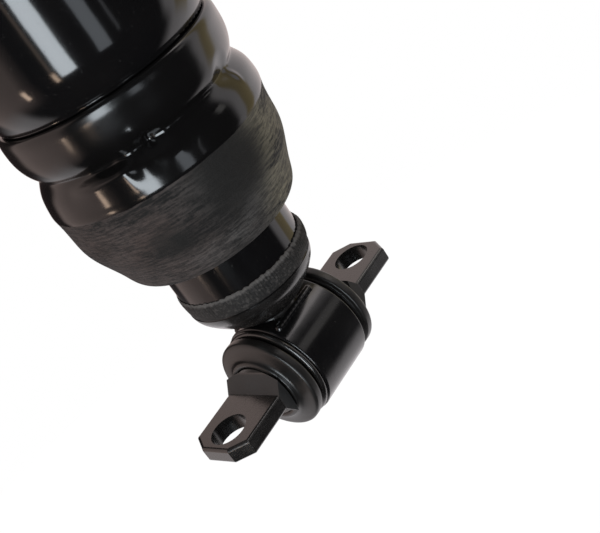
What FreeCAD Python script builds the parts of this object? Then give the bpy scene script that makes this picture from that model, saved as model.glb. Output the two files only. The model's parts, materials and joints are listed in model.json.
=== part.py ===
import FreeCAD, Part

import math
import os

from FreeCAD import Vector

# Rear load-levelling shock absorber: a twin-tube damper with a rolling-lobe air sleeve round it,
# a bar-pin bushing at the bottom and a two-bolt rubber mount at the top.
#
# Frame, in millimetres: the origin is the centre of the bar pin, midway between its two bolt holes.
# +Z runs up the axis of the damper and +X along the bar pin. The damper is shown almost fully closed,
# as it is when the air sleeve is empty.

# ---- driving dimensions ---------------------------------------------------------------------------
RUNNING = 0.05  # radial gap of a running fit
SOFT_GAP = 0.15  # gap between the air sleeve and what holds or guides it

# bar pin: a round barrel forged into two flat ends, each with a bolt hole
BOLT_SPACING = 80.0
BOLT_HOLE_R = 6.35
PIN_LENGTH = 97.0
PIN_WIDTH = 23.6
PIN_THICKNESS = 5.7
PIN_BARREL_R = 10.0
PIN_RAMP = 4.2
PIN_FLARE = 1.7
PIN_END_GAP = 0.15
PIN_CORNER_LENGTH = 4.5
PIN_CORNER_WIDTH = 6.0
PIN_EDGE = 1.1

# lower eye and its bushing
EYE_R = 18.6
EYE_WALL = 3.0
EYE_LENGTH = 24.5
EYE_EDGE = 0.6
SLEEVE_STEEL_WALL = 1.5
SLEEVE_STEEL_OVERHANG = 1.9
SLEEVE_LIP_STEP = 0.4
FLANGE_STEP = 0.6
FLANGE_GAP = 1.1
FLANGE_RIM = 3.6
FLANGE_NECK_WALL = 2.2
COLLAR_R = 12.3
COLLAR_HEIGHT = 2.3

# damper body
TUBE_R = 22.0
TUBE_WALL = 1.5
TUBE_BOTTOM = 31.2
TUBE_TOP = 245.0
TUBE_LIP = 1.5
BASE_WALL = 2.4
BASE_SPIGOT = 6.5
BASE_SINK = 0.2
BASE_FOOT_R = 9.5
WELD_R = 1.8
STOP_RING_THICKNESS = 1.3
STOP_RING_HEIGHT = 7.2
PRESSURE_R = 15.0
PRESSURE_WALL = 1.2
VALVE_SEAT = 33.0
VALVE_FLANGE = 4.0
VALVE_SPIGOT = 6.0
VALVE_PASSAGES = 6
VALVE_PASSAGE_R = 1.3
VALVE_PASSAGE_CIRCLE = 10.5
CHECK_THICKNESS = 0.6
CHECK_LIFT = 0.8

# rod and piston
ROD_R = 6.2
ROD_NECK_R = 4.0
PISTON_BOTTOM = 68.0
PISTON_HEIGHT = 16.0
PISTON_CLEARANCE = 0.1
BAND_HEIGHT = 9.0
BAND_DEPTH = 1.2
DISC_THICKNESS = 0.3
DISCS = 6
PISTON_NUT_HEIGHT = 6.0
PISTON_NUT_ACROSS = 14.0
STOP_WASHER = 2.0
BUMPER_HEIGHT = 10.0
GUIDE_SPIGOT = 8.0
GUIDE_FLANGE = 11.5
BUSH_WALL = 0.8
SEAL_HEIGHT = 5.0
STRIKER_WALL = 1.4
STRIKER_SKIRT = 10.0

# air sleeve
SLEEVE_WALL = 2.4
LOBE_BOTTOM = 48.3
ROLL_R = 1.9
SLEEVE_SAMPLES = 90
SLEEVE_LENGTHS = 15
CREASE_HEIGHT = 95.3
INNER_CLAMP_HEIGHT = 138.0
CLAMP_RING_LENGTH = 12.0
CLAMP_RING_WALL = 1.5

# outer can
CAN_WALL = 1.5
CAN_BOTTOM = 111.5
CAN_TOP = 304.0
NECK_GAP = 12.6
SWAGE_DEPTH = 3.4
NECK_LENGTH = 6.5
SHOULDER_LENGTH = 7.0
SUPPORT_WALL = 2.0
CAP_WALL = 3.0
CAP_SKIRT = 6.0
CAP_RISE = 6.0
CAP_BOSS_R = 12.0
CAP_BOSS_HEIGHT = 9.0
O_RING_SECTION = 2.2
BUMP_STOP_R = 17.0
BUMP_STOP_LENGTH = 38.0

# top mount
STUD_R = 5.0
STUD_PITCH = 1.25
THREAD_DEPTH = 0.6
STUD_ABOVE_NUT = 6.0
WASHER_R = 19.0
WASHER_THICKNESS = 2.5
WASHER_DISH = 1.6
SPACER_R = 8.0
SPACER_LENGTH = 24.0
HOUSING_R = 26.5
HOUSING_WALL = 2.5
HOUSING_LENGTH = 20.5
MOUNT_RUBBER_GAP = 1.5
MOUNT_TILT = 4.0
PLATE_THICKNESS = 3.5
PLATE_LENGTH = 118.0
PLATE_END_R = 14.0
PLATE_BOLT_SPACING = 90.0
PLATE_HOLE_R = 5.25
NUT_HEIGHT = 10.0
NUT_ACROSS = 16.0
NUT_FLANGE_R = 10.5

# air port, on the +Y side of the can
PORT_HEIGHT = 282.0
PORT_THREAD_R = 4.6
BOSS_R = 8.5
BOSS_LENGTH = 5.5
FITTING_ACROSS = 13.0
FITTING_HEX_LENGTH = 6.0
FITTING_BARREL_R = 6.4
FITTING_BARREL_LENGTH = 6.5
AIR_LINE_R = 3.1
AIR_WAY_R = 1.8
CARTRIDGE_R = 4.7
COLLET_TRAVEL = 1.0
COLLET_HEAD = 1.6

# ---- worked out from the driving dimensions -------------------------------------------------------
EYE_BORE_R = EYE_R - EYE_WALL
STEEL_BORE_R = EYE_BORE_R - SLEEVE_STEEL_WALL
STEEL_HALF = EYE_LENGTH / 2 + SLEEVE_STEEL_OVERHANG
SLEEVE_LIP_R = EYE_R - SLEEVE_LIP_STEP
FLANGE_R = EYE_R - FLANGE_STEP
FLANGE_NECK_R = STEEL_BORE_R + FLANGE_NECK_WALL
BASE_FLOOR = EYE_R - BASE_SINK
RUBBER_TIP = STEEL_HALF + FLANGE_GAP + FLANGE_RIM + COLLAR_HEIGHT
PIN_BARREL_HALF = RUBBER_TIP + PIN_END_GAP
PIN_FLAT_START = PIN_BARREL_HALF + PIN_RAMP
TUBE_BORE_R = TUBE_R - TUBE_WALL
BASE_BORE_R = TUBE_BORE_R - BASE_WALL
VALVE_TOP = VALVE_SEAT + VALVE_FLANGE + VALVE_SPIGOT
PRESSURE_BOTTOM = VALVE_SEAT + VALVE_FLANGE
PISTON_TOP = PISTON_BOTTOM + PISTON_HEIGHT
STACK = DISC_THICKNESS * DISCS
WASHER_BOTTOM = PISTON_TOP + STACK
BUMPER_BOTTOM = WASHER_BOTTOM + STOP_WASHER
TUBE_LIP_BOTTOM = TUBE_TOP - TUBE_LIP
SEAL_BOTTOM = TUBE_LIP_BOTTOM - SEAL_HEIGHT
GUIDE_FLANGE_BOTTOM = SEAL_BOTTOM - GUIDE_FLANGE
GUIDE_BOTTOM = GUIDE_FLANGE_BOTTOM - GUIDE_SPIGOT
PRESSURE_TOP = GUIDE_FLANGE_BOTTOM
NECK_R = TUBE_R + NECK_GAP
CAN_R = NECK_R + SWAGE_DEPTH
NECK_BORE_R = NECK_R - CAN_WALL
CAN_BORE_R = CAN_R - CAN_WALL
NECK_TOP = CAN_BOTTOM + NECK_LENGTH
SHOULDER_TOP = NECK_TOP + SHOULDER_LENGTH
CAP_TOP = CAN_TOP + CAP_RISE + CAP_WALL
BOSS_BOTTOM = CAP_TOP - CAP_WALL - CAP_BOSS_HEIGHT
O_RING_BOTTOM = BOSS_BOTTOM + 3.0
SPACER_BOTTOM = CAP_TOP + WASHER_THICKNESS
SPACER_TOP = SPACER_BOTTOM + SPACER_LENGTH
NUT_BOTTOM = SPACER_TOP + WASHER_THICKNESS
STUD_TOP = NUT_BOTTOM + NUT_HEIGHT + STUD_ABOVE_NUT
HOUSING_BOTTOM = SPACER_BOTTOM + (SPACER_LENGTH - HOUSING_LENGTH) / 2
HOUSING_TOP = HOUSING_BOTTOM + HOUSING_LENGTH
HOUSING_BORE_R = HOUSING_R - HOUSING_WALL
BOSS_FACE = CAN_R + BOSS_LENGTH
HEX_FACE = BOSS_FACE + FITTING_HEX_LENGTH
BARREL_FACE = HEX_FACE + FITTING_BARREL_LENGTH
CARTRIDGE_FLOOR = BOSS_FACE + 3.0
LINE_STOP = BOSS_FACE + 1.0

ORIGIN = Vector(0, 0, 0)
UP = Vector(0, 0, 1)
ALONG_PIN = Vector(1, 0, 0)
ACROSS = Vector(0, 1, 0)


# ---- helpers --------------------------------------------------------------------------------------
def arc(middle, end):
    """A round stretch of an outline, through middle to end."""
    return ("arc", middle, end)


def outline_face(outline):
    """A face in the XZ plane from points (radius, height) and arcs."""

    def at(point):
        return Vector(point[0], 0, point[1])

    edges = []
    here = outline[0]
    for step in outline[1:] + [outline[0]]:
        if step[0] == "arc":
            edges.append(Part.Arc(at(here), at(step[1]), at(step[2])).toShape())
            here = step[2]
        elif at(step).distanceToPoint(at(here)) > 1e-7:
            edges.append(Part.LineSegment(at(here), at(step)).toShape())
            here = step
    return Part.Face(Part.Wire(edges))


def turned(outline):
    """A solid turned about Z from an outline of (radius, height)."""
    return outline_face(outline).revolve(ORIGIN, UP, 360)


def ring(inner_r, outer_r, bottom, top):
    return turned([(inner_r, bottom), (outer_r, bottom), (outer_r, top), (inner_r, top)])


def laid_along_pin(shape):
    """Turns a solid made about Z so that its axis lies along X."""
    return shape.rotated(ORIGIN, ACROSS, 90)


def laid_along_port(shape):
    """Turns a solid made about Z so that its axis points along +Y, at the height of the air port."""
    return shape.rotated(ORIGIN, ALONG_PIN, -90).translated(Vector(0, 0, PORT_HEIGHT))


def hexagon(across, bottom, height):
    """A hexagonal prism about Z, measured across its flats."""
    corner = Vector(across / 3**0.5, 0, bottom)
    points = []
    for turn in range(7):
        points.append(FreeCAD.Rotation(UP, 60 * turn).multVec(corner))
    return Part.Face(Part.makePolygon(points)).extrude(UP * height)


def drilled(shape, radius, circle, count, bottom, height):
    """Shape with holes parallel to Z, evenly spaced on a circle."""
    for index in range(count):
        place = FreeCAD.Rotation(UP, 360.0 * index / count).multVec(Vector(circle, 0, bottom))
        shape = shape.cut(Part.makeCylinder(radius, height, place, UP))
    return shape


def thread_outline(radius, bottom, top):
    """The zigzag side of a thread, as points from bottom to top."""
    points = []
    height = bottom
    while height + STUD_PITCH <= top:
        points.append((radius, height))
        points.append((radius - THREAD_DEPTH, height + STUD_PITCH / 2))
        height += STUD_PITCH
    points.append((radius, height))
    return points


# ---- lower mount ----------------------------------------------------------------------------------
def bar_pin():
    """Forged pin: round barrel, ramps down to two flat ends with cut corners and bolt holes."""
    half_width = PIN_WIDTH / 2
    half_length = PIN_LENGTH / 2
    corner_x = half_length - PIN_CORNER_LENGTH
    corner_y = half_width - PIN_CORNER_WIDTH
    plan = [
        (PIN_BARREL_HALF, half_width),
        (corner_x, half_width),
        (half_length, corner_y),
        (half_length, -corner_y),
        (corner_x, -half_width),
        (PIN_BARREL_HALF, -half_width),
        (PIN_BARREL_HALF, half_width),
    ]
    blank = Part.Face(Part.makePolygon([Vector(x, y, -PIN_BARREL_R) for x, y in plan]))
    blank = blank.extrude(UP * 2 * PIN_BARREL_R)
    half_thickness = PIN_THICKNESS / 2
    ramp_top = PIN_BARREL_R - 1.5
    side = [
        (PIN_BARREL_HALF, ramp_top),
        (PIN_FLAT_START, half_thickness),
        (half_length, half_thickness),
        (half_length, -half_thickness),
        (PIN_FLAT_START, -half_thickness),
        (PIN_BARREL_HALF, -ramp_top),
        (PIN_BARREL_HALF, ramp_top),
    ]
    profile = Part.Face(Part.makePolygon([Vector(x, -half_width, z) for x, z in side]))
    flat = blank.common(profile.extrude(ACROSS * PIN_WIDTH))
    long_edges = [
        edge
        for edge in flat.Edges
        if edge.BoundBox.ZLength < 1e-6
        and abs(abs(edge.BoundBox.ZMin) - half_thickness) < 1e-6
        and edge.BoundBox.XMax > PIN_FLAT_START + 1e-3
    ]
    flat = flat.makeFillet(PIN_EDGE, long_edges)
    ramp_limit = turned(
        [
            (0, PIN_BARREL_HALF),
            (PIN_BARREL_R, PIN_BARREL_HALF),
            (half_width * 1.2, PIN_BARREL_HALF + PIN_FLARE),
            (half_width * 1.2, half_length + 1),
            (0, half_length + 1),
        ]
    )
    flat = flat.common(laid_along_pin(ramp_limit))
    hole = Part.makeCylinder(
        BOLT_HOLE_R, PIN_WIDTH, Vector(BOLT_SPACING / 2, 0, -PIN_WIDTH / 2), UP
    )
    flat = flat.cut(hole)
    barrel = Part.makeCylinder(
        PIN_BARREL_R, 2 * PIN_BARREL_HALF, Vector(-PIN_BARREL_HALF, 0, 0), ALONG_PIN
    )
    other = flat.rotated(ORIGIN, UP, 180)
    return barrel.fuse([flat, other]).removeSplitter()


def bushing_sleeve():
    """Steel outer sleeve of the bushing, pressed into the eye up to a turned-out lip on its -X end."""
    lip_start = EYE_LENGTH / 2
    return laid_along_pin(
        turned(
            [
                (STEEL_BORE_R, -STEEL_HALF),
                (SLEEVE_LIP_R - 0.8, -STEEL_HALF),
                arc((SLEEVE_LIP_R, -STEEL_HALF + SLEEVE_STEEL_OVERHANG / 2), (SLEEVE_LIP_R - 0.5, -lip_start)),
                (EYE_BORE_R, -lip_start),
                (EYE_BORE_R, STEEL_HALF),
                (STEEL_BORE_R, STEEL_HALF),
            ]
        )
    )


def bushing_rubber():
    """Bonded rubber with a thick rimmed flange and a raised collar at each end."""
    inner_r = PIN_BARREL_R + RUNNING
    neck = STEEL_HALF
    rim = neck + FLANGE_GAP
    face = rim + FLANGE_RIM
    tip = RUBBER_TIP
    half = [
        (STEEL_BORE_R, neck),
        (FLANGE_NECK_R, neck),
        (FLANGE_NECK_R, rim),
        (FLANGE_R - 0.7, rim),
        arc((FLANGE_R - 0.2, rim + 0.2), (FLANGE_R, rim + 0.7)),
        (FLANGE_R, face - 1.2),
        arc((FLANGE_R - 0.4, face - 0.4), (FLANGE_R - 1.2, face)),
        (COLLAR_R + 0.6, face + 1.0),
        arc((COLLAR_R, tip - 0.3), (COLLAR_R - 1.0, tip)),
        (inner_r + 0.6, tip - 0.6),
        (inner_r, tip - 1.4),
    ]
    mirrored = []
    for step in half:
        if step[0] == "arc":
            mirrored.append(arc((step[1][0], -step[1][1]), (step[2][0], -step[2][1])))
        else:
            mirrored.append((step[0], -step[1]))
    # the half outline is walked back from the bore, so each arc swaps its two ends
    back = [mirrored[-1]]
    for index in range(len(mirrored) - 2, -1, -1):
        step = mirrored[index]
        ahead = mirrored[index + 1]
        end = step[2] if step[0] == "arc" else step
        back.append(arc(ahead[1], end) if ahead[0] == "arc" else end)
    first = back[0] if back[0][0] != "arc" else back[0][2]
    return laid_along_pin(turned([first] + back[1:] + half))


def mounting_eye():
    """Round steel eye that holds the bushing."""
    eye = laid_along_pin(ring(EYE_BORE_R, EYE_R, -EYE_LENGTH / 2, EYE_LENGTH / 2))
    rims = [
        edge
        for edge in eye.Edges
        if edge.Curve.TypeId == "Part::GeomCircle" and abs(edge.Curve.Radius - EYE_R) < 1e-6
    ]
    return eye.makeFillet(EYE_EDGE, rims)


# ---- damper body ----------------------------------------------------------------------------------
def base_outer():
    """Outer outline of the base cup, from its foot to the end of the tube."""
    shoulder_r = TUBE_R + 0.2
    return [
        (0, BASE_FLOOR - 3.0),
        (BASE_FOOT_R, BASE_FLOOR - 3.0),
        (BASE_FOOT_R, BASE_FLOOR),
        (TUBE_R - 10.5, BASE_FLOOR + 0.8),
        arc((TUBE_R - 4.9, TUBE_BOTTOM - 7.8), (TUBE_R - 1.5, TUBE_BOTTOM - 4.0)),
        arc((TUBE_R - 0.3, TUBE_BOTTOM - 2.0), (shoulder_r, TUBE_BOTTOM)),
        (TUBE_BORE_R, TUBE_BOTTOM),
        (TUBE_BORE_R, TUBE_BOTTOM + BASE_SPIGOT),
    ]


def base_cup():
    """Pressed base of the damper, saddled on the eye and pushed into the tube."""
    cup = turned(
        base_outer()
        + [
            (BASE_BORE_R, TUBE_BOTTOM + BASE_SPIGOT),
            (BASE_BORE_R, VALVE_SEAT),
            (BASE_BORE_R - 2.0, VALVE_SEAT),
            (BASE_BORE_R - 3.2, VALVE_SEAT - 4.0),
            (TUBE_R - 12.5, BASE_FLOOR + BASE_WALL + 1.0),
            (0, BASE_FLOOR + BASE_WALL),
        ]
    )
    return cup.cut(laid_along_pin(ring(0, EYE_R, -EYE_LENGTH, EYE_LENGTH)))


def eye_weld():
    """The two weld beads that run along the eye, one on each side of the base cup's foot."""
    length = EYE_LENGTH - 5.0
    reach = BASE_FOOT_R
    seat = (EYE_R**2 - reach**2) ** 0.5
    bead = Part.makeCylinder(
        WELD_R, length, Vector(-length / 2, -reach - 0.4, seat + 0.6), ALONG_PIN
    )
    bead = bead.fuse(bead.mirror(ORIGIN, ACROSS))
    cup = turned(base_outer() + [(0, TUBE_BOTTOM + BASE_SPIGOT)])
    eye = laid_along_pin(ring(0, EYE_R, -EYE_LENGTH, EYE_LENGTH))
    return bead.cut(eye).cut(cup)


def reservoir_tube():
    """Outer tube of the damper, rolled in over the rod seal at its top."""
    lip_r = TUBE_BORE_R - 4.5
    return turned(
        [
            (TUBE_BORE_R, TUBE_BOTTOM),
            (TUBE_R, TUBE_BOTTOM),
            (TUBE_R, TUBE_TOP - 1.5),
            arc((TUBE_R - 0.45, TUBE_TOP - 0.45), (TUBE_R - 1.5, TUBE_TOP)),
            (lip_r, TUBE_TOP),
            (lip_r, TUBE_LIP_BOTTOM),
            (TUBE_BORE_R, TUBE_LIP_BOTTOM),
        ]
    )


def stop_ring():
    """Rubber ring round the foot of the tube that keeps the lobe off the weld."""
    outer_r = TUBE_R + STOP_RING_THICKNESS
    top = TUBE_BOTTOM + STOP_RING_HEIGHT
    return turned(
        [
            (TUBE_R + 0.2, TUBE_BOTTOM),
            (outer_r - 0.5, TUBE_BOTTOM),
            arc((outer_r, TUBE_BOTTOM + 1.2), (outer_r + 0.2, TUBE_BOTTOM + 3.0)),
            (outer_r, top - 0.5),
            (outer_r - 0.5, top),
            (TUBE_R, top),
            (TUBE_R, TUBE_BOTTOM + 0.3),
        ]
    )


def pressure_tube():
    return ring(PRESSURE_R, PRESSURE_R + PRESSURE_WALL, PRESSURE_BOTTOM, PRESSURE_TOP)


def base_valve_body():
    """Foot valve that closes the pressure tube, with passages to the reservoir round it."""
    flange_top = VALVE_SEAT + VALVE_FLANGE
    body = turned(
        [
            (ROD_NECK_R - 1.0, VALVE_SEAT),
            (BASE_BORE_R, VALVE_SEAT),
            (BASE_BORE_R, flange_top),
            (PRESSURE_R, flange_top),
            (PRESSURE_R, VALVE_TOP),
            (ROD_NECK_R - 1.0, VALVE_TOP),
        ]
    )
    return drilled(
        body, VALVE_PASSAGE_R, VALVE_PASSAGE_CIRCLE, VALVE_PASSAGES, VALVE_SEAT - 1, VALVE_TOP
    )


def base_valve_rivet():
    """Rivet through the foot valve: it holds the discs below and stops the intake plate above."""
    shank_r = ROD_NECK_R - 1.0
    head_bottom = VALVE_TOP + CHECK_THICKNESS + CHECK_LIFT + RUNNING
    return turned(
        [
            (0, VALVE_SEAT - STACK - 1.5),
            (shank_r + 2.0, VALVE_SEAT - STACK - 1.5),
            (shank_r + 2.0, VALVE_SEAT - STACK),
            (shank_r, VALVE_SEAT - STACK),
            (shank_r, head_bottom),
            (shank_r + 4.5, head_bottom),
            (shank_r + 4.5, head_bottom + 1.0),
            (0, head_bottom + 1.6),
        ]
    )


def base_disc_stack():
    return ring(ROD_NECK_R - 1.0, PRESSURE_R - 2.5, VALVE_SEAT - STACK, VALVE_SEAT)


def base_intake_plate():
    """Plate that lies on the foot valve and lifts to let oil back in."""
    return ring(
        ROD_NECK_R - 1.0 + RUNNING, PRESSURE_R - 2.0, VALVE_TOP, VALVE_TOP + CHECK_THICKNESS
    )


def rod_guide():
    """Sintered guide that centres the pressure tube in the reservoir tube and carries the rod."""
    return turned(
        [
            (ROD_R + RUNNING + BUSH_WALL, GUIDE_BOTTOM),
            (PRESSURE_R, GUIDE_BOTTOM),
            (PRESSURE_R, GUIDE_FLANGE_BOTTOM),
            (TUBE_BORE_R, GUIDE_FLANGE_BOTTOM),
            (TUBE_BORE_R, SEAL_BOTTOM),
            (ROD_R + RUNNING + BUSH_WALL, SEAL_BOTTOM),
        ]
    )


def guide_bush():
    return ring(ROD_R + RUNNING, ROD_R + RUNNING + BUSH_WALL, GUIDE_BOTTOM, SEAL_BOTTOM - 3.0)


def rod_seal():
    """Rod seal with a dust lip that stands up inside the rolled rim of the tube."""
    inner_r = ROD_R + RUNNING
    return turned(
        [
            (inner_r, SEAL_BOTTOM),
            (TUBE_BORE_R, SEAL_BOTTOM),
            (TUBE_BORE_R, TUBE_LIP_BOTTOM),
            (inner_r + 5.0, TUBE_LIP_BOTTOM),
            (inner_r + 1.4, TUBE_TOP - 0.4),
            (inner_r, TUBE_TOP - 0.4),
        ]
    )


def striker_cap():
    """Cap pressed over the top of the tube, which the bump stop lands on."""
    outer_r = TUBE_R + STRIKER_WALL
    top = TUBE_TOP + STRIKER_WALL
    bottom = TUBE_TOP - STRIKER_SKIRT
    return turned(
        [
            (TUBE_R, bottom),
            (outer_r, bottom),
            (outer_r, top - 2.0),
            arc((outer_r - 0.6, top - 0.6), (outer_r - 2.0, top)),
            (ROD_R + 2.5, top),
            (ROD_R + 2.5, TUBE_TOP),
            (TUBE_R - 1.5, TUBE_TOP),
            arc((TUBE_R - 0.45, TUBE_TOP - 0.45), (TUBE_R, TUBE_TOP - 1.5)),
        ]
    )


# ---- rod and piston -------------------------------------------------------------------------------
def piston_rod():
    """Hardened rod: thin neck for the piston, plain shaft, and a threaded stud for the top mount."""
    nut_bottom = PISTON_BOTTOM - STACK - PISTON_NUT_HEIGHT
    return turned(
        [
            (0, nut_bottom),
            (ROD_NECK_R, nut_bottom),
            (ROD_NECK_R, BUMPER_BOTTOM),
            (ROD_R, BUMPER_BOTTOM),
            (ROD_R, CAP_TOP),
            (STUD_R, CAP_TOP),
        ]
        + thread_outline(STUD_R, NUT_BOTTOM, STUD_TOP - 1.0)
        + [(STUD_R - 1.0, STUD_TOP), (0, STUD_TOP)]
    )


def piston():
    outer_r = PRESSURE_R - PISTON_CLEARANCE
    groove = PISTON_BOTTOM + (PISTON_HEIGHT - BAND_HEIGHT) / 2
    body = turned(
        [
            (ROD_NECK_R, PISTON_BOTTOM),
            (outer_r, PISTON_BOTTOM),
            (outer_r, groove),
            (outer_r - BAND_DEPTH, groove),
            (outer_r - BAND_DEPTH, groove + BAND_HEIGHT),
            (outer_r, groove + BAND_HEIGHT),
            (outer_r, PISTON_TOP),
            (ROD_NECK_R, PISTON_TOP),
        ]
    )
    return drilled(
        body, VALVE_PASSAGE_R, VALVE_PASSAGE_CIRCLE, VALVE_PASSAGES, PISTON_BOTTOM - 1, PISTON_HEIGHT + 2
    )


def piston_band():
    outer_r = PRESSURE_R - PISTON_CLEARANCE
    groove = PISTON_BOTTOM + (PISTON_HEIGHT - BAND_HEIGHT) / 2
    return ring(outer_r - BAND_DEPTH, PRESSURE_R - RUNNING, groove, groove + BAND_HEIGHT)


def piston_lower_discs():
    return ring(ROD_NECK_R, PRESSURE_R - 2.5, PISTON_BOTTOM - STACK, PISTON_BOTTOM)


def piston_upper_discs():
    return ring(ROD_NECK_R, PRESSURE_R - 2.5, PISTON_TOP, WASHER_BOTTOM)


def piston_nut():
    bottom = PISTON_BOTTOM - STACK - PISTON_NUT_HEIGHT
    nut = hexagon(PISTON_NUT_ACROSS, bottom, PISTON_NUT_HEIGHT)
    return nut.cut(ring(0, ROD_NECK_R, bottom - 1, PISTON_BOTTOM))


def stop_washer():
    return ring(ROD_NECK_R, PRESSURE_R - 3.0, WASHER_BOTTOM, BUMPER_BOTTOM)


def rebound_bumper():
    """Rubber ring on the stop washer that meets the rod guide at full reach."""
    top = BUMPER_BOTTOM + BUMPER_HEIGHT
    outer_r = PRESSURE_R - 3.5
    return turned(
        [
            (ROD_R, BUMPER_BOTTOM),
            (outer_r, BUMPER_BOTTOM),
            (outer_r, BUMPER_BOTTOM + 3.0),
            arc((outer_r - 1.2, BUMPER_BOTTOM + BUMPER_HEIGHT / 2), (outer_r, top - 3.0)),
            (outer_r - 1.5, top),
            (ROD_R, top),
        ]
    )


# ---- air sleeve -----------------------------------------------------------------------------------
def sleeve_middle():
    """Middle line of the soft part of the sleeve, from the neck of the can down to the lobe and up
    the tube: two bulges with a crease between them, then the rolled lobe."""
    held_r = NECK_BORE_R - SOFT_GAP - SLEEVE_WALL / 2
    inner_r = TUBE_R + SOFT_GAP + SLEEVE_WALL / 2
    bulge = CREASE_HEIGHT
    lobe = LOBE_BOTTOM + SLEEVE_WALL / 2
    return [
        (held_r, CAN_BOTTOM + 3.0),
        (held_r, CAN_BOTTOM + 0.8),
        (held_r + 0.7, CAN_BOTTOM - 1.4),
        (held_r + 2.4, CAN_BOTTOM - 3.2),
        (held_r + 3.4, CAN_BOTTOM - 6.2),
        (held_r + 3.3, CAN_BOTTOM - 10.0),
        (held_r + 2.2, bulge + 3.0),
        (held_r + 0.6, bulge),
        (held_r + 1.9, bulge - 2.8),
        (held_r + 3.4, bulge - 6.2),
        (held_r + 4.1, bulge - 12.3),
        (held_r + 4.1, bulge - 18.5),
        (held_r + 3.5, lobe + 20.8),
        (held_r + 2.2, lobe + 16.5),
        (inner_r + 8.2, lobe + 10.7),
        (inner_r + 5.6, lobe + 4.6),
        (inner_r + 4.4, lobe + 2.0),
        (inner_r + ROLL_R * 1.7, lobe + ROLL_R * 0.3),
        (inner_r + ROLL_R, lobe),
        (inner_r + ROLL_R * 0.3, lobe + ROLL_R * 0.29),
        (inner_r + ROLL_R * 0.05, lobe + ROLL_R * 0.72),
        (inner_r, lobe + ROLL_R * 1.6),
        (inner_r, lobe + ROLL_R * 3),
    ]


def smooth_curve(points):
    """A smooth curve through points."""
    curve = Part.BSplineCurve()
    curve.interpolate(Points=points)
    return curve


def offset_curve(middle, distance):
    """A smooth curve at a distance to one side of a middle line, and the points it passes through."""
    line = smooth_curve([Vector(r, 0, z) for r, z in middle])
    step = (line.LastParameter - line.FirstParameter) / SLEEVE_SAMPLES
    points = []
    for index in range(SLEEVE_SAMPLES + 1):
        place = line.FirstParameter + step * index
        along = line.tangent(place)[0]
        points.append(line.value(place) + Vector(-along.z, 0, along.x).normalize() * distance)
    return smooth_curve(points), points


def in_lengths(curve):
    """A curve as a chain of short edges, so that each turned face is a simple one."""
    step = (curve.LastParameter - curve.FirstParameter) / SLEEVE_LENGTHS
    edges = []
    for index in range(SLEEVE_LENGTHS):
        length = curve.copy()
        start = curve.FirstParameter + step * index
        length.segment(start, start + step)
        edges.append(length.toShape())
    return edges


def air_sleeve():
    """Rubber sleeve, clamped in the neck of the can and on the tube, with its lobe rolled between."""
    middle = sleeve_middle()
    outside, outside_points = offset_curve(middle, SLEEVE_WALL / 2)
    inside, inside_points = offset_curve(middle, -SLEEVE_WALL / 2)
    top = SHOULDER_TOP
    end = INNER_CLAMP_HEIGHT + CLAMP_RING_LENGTH
    outside_top = Vector(outside_points[0].x, 0, top)
    inside_top = Vector(inside_points[0].x, 0, top)
    outside_end = Vector(outside_points[-1].x, 0, end)
    inside_end = Vector(inside_points[-1].x, 0, end)
    edges = [Part.LineSegment(outside_top, outside_points[0]).toShape()]
    edges += in_lengths(outside)
    edges += [
        Part.LineSegment(outside_points[-1], outside_end).toShape(),
        Part.LineSegment(outside_end, inside_end).toShape(),
        Part.LineSegment(inside_end, inside_points[-1]).toShape(),
    ]
    edges += reversed(in_lengths(inside))
    edges += [
        Part.LineSegment(inside_points[0], inside_top).toShape(),
        Part.LineSegment(inside_top, outside_top).toShape(),
    ]
    return Part.Face(Part.Wire(edges)).revolve(ORIGIN, UP, 360)


def sleeve_inner_ring():
    """Crimped ring that clamps the inner end of the sleeve on the tube."""
    inner_r = TUBE_R + 2 * SOFT_GAP + SLEEVE_WALL
    outer_r = inner_r + CLAMP_RING_WALL
    top = INNER_CLAMP_HEIGHT + CLAMP_RING_LENGTH
    middle = (INNER_CLAMP_HEIGHT + top) / 2
    return turned(
        [
            (inner_r, INNER_CLAMP_HEIGHT),
            (outer_r, INNER_CLAMP_HEIGHT),
            (outer_r, middle - 2.5),
            arc((outer_r - 0.6, middle), (outer_r, middle + 2.5)),
            (outer_r, top),
            (inner_r, top),
        ]
    )


def sleeve_support_ring():
    """Ring inside the sleeve that the neck of the can is crimped against."""
    outer_r = NECK_BORE_R - 2 * SOFT_GAP - SLEEVE_WALL
    inner_r = outer_r - SUPPORT_WALL
    return turned(
        [
            (inner_r, CAN_BOTTOM + 1.5),
            (outer_r - 0.6, CAN_BOTTOM + 1.5),
            (outer_r, CAN_BOTTOM + 2.1),
            (outer_r, SHOULDER_TOP),
            (inner_r, SHOULDER_TOP),
        ]
    )


# ---- outer can ------------------------------------------------------------------------------------
def swage_arc(start, end):
    """An arc from start to end, given as (radius, height), that leaves end straight down."""
    step = end[0] - start[0]
    rise = end[1] - start[1]
    bend_r = (step**2 + rise**2) / (2 * step)
    half = math.asin(rise / bend_r) / 2
    via = (end[0] - bend_r * (1 - math.cos(half)), end[1] - bend_r * math.sin(half))
    return arc(via, end)


def can_bore():
    """Inner side of the can's wall: the neck that grips the sleeve, opening to the straight bore."""
    middle_r = (CAN_BORE_R + NECK_BORE_R) / 2
    middle = (NECK_TOP + SHOULDER_TOP) / 2
    step = (CAN_BORE_R - NECK_BORE_R) / 2
    rise = SHOULDER_LENGTH / 2
    bend_r = (step**2 + rise**2) / (2 * step)
    bow = bend_r - (bend_r**2 - rise**2 / 4) ** 0.5
    return [
        (NECK_BORE_R, NECK_TOP),
        arc((NECK_BORE_R + bow, NECK_TOP + rise / 2), (middle_r, middle)),
        arc((CAN_BORE_R - bow, SHOULDER_TOP - rise / 2), (CAN_BORE_R, SHOULDER_TOP)),
    ]


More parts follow.
